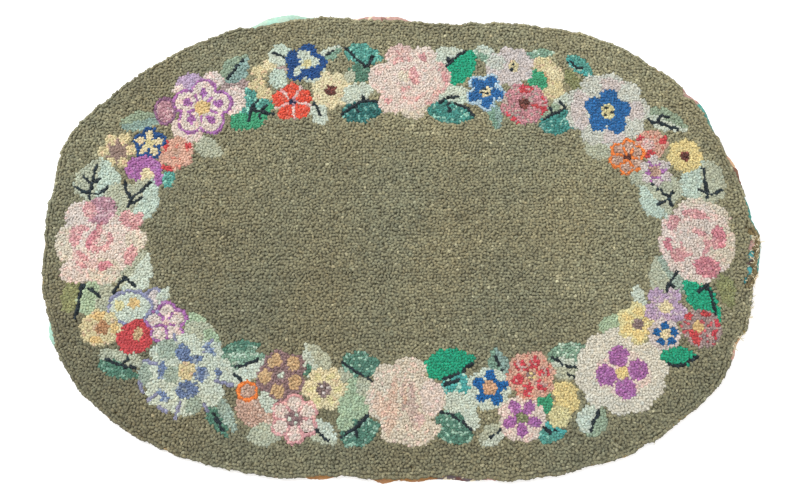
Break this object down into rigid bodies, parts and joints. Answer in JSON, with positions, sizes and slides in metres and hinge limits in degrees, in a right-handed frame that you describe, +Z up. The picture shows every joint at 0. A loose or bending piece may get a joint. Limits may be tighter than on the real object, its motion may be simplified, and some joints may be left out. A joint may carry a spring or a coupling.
{
  "type": "hooked rug",
  "caption": "Oval hooked wool rug with a wreath of flowers and leaves on an olive ground, and a printed cotton binding turned under its edge.",
  "frame": {"origin": "centre of the rug on the surface that it lies on", "axes": "+X along the rug's long way, +Y across it, towards the border with the mint-coloured binding, +Z up, out of the pile"},
  "size_m": [0.9134, 0.6146, 0.009],
  "materials": {
    "hooked_wool": "short uncut wool loops, matt, softly heathered, with a coloured wreath of flowers",
    "printed_cotton": "thin plain-weave cotton with a faded print in mint, teal, pink and brown"
  },
  "bodies": {
    "root": {"hooked_rug": "hooked_wool", "edge_binding": "printed_cotton"}
  },
  "joints": []
}
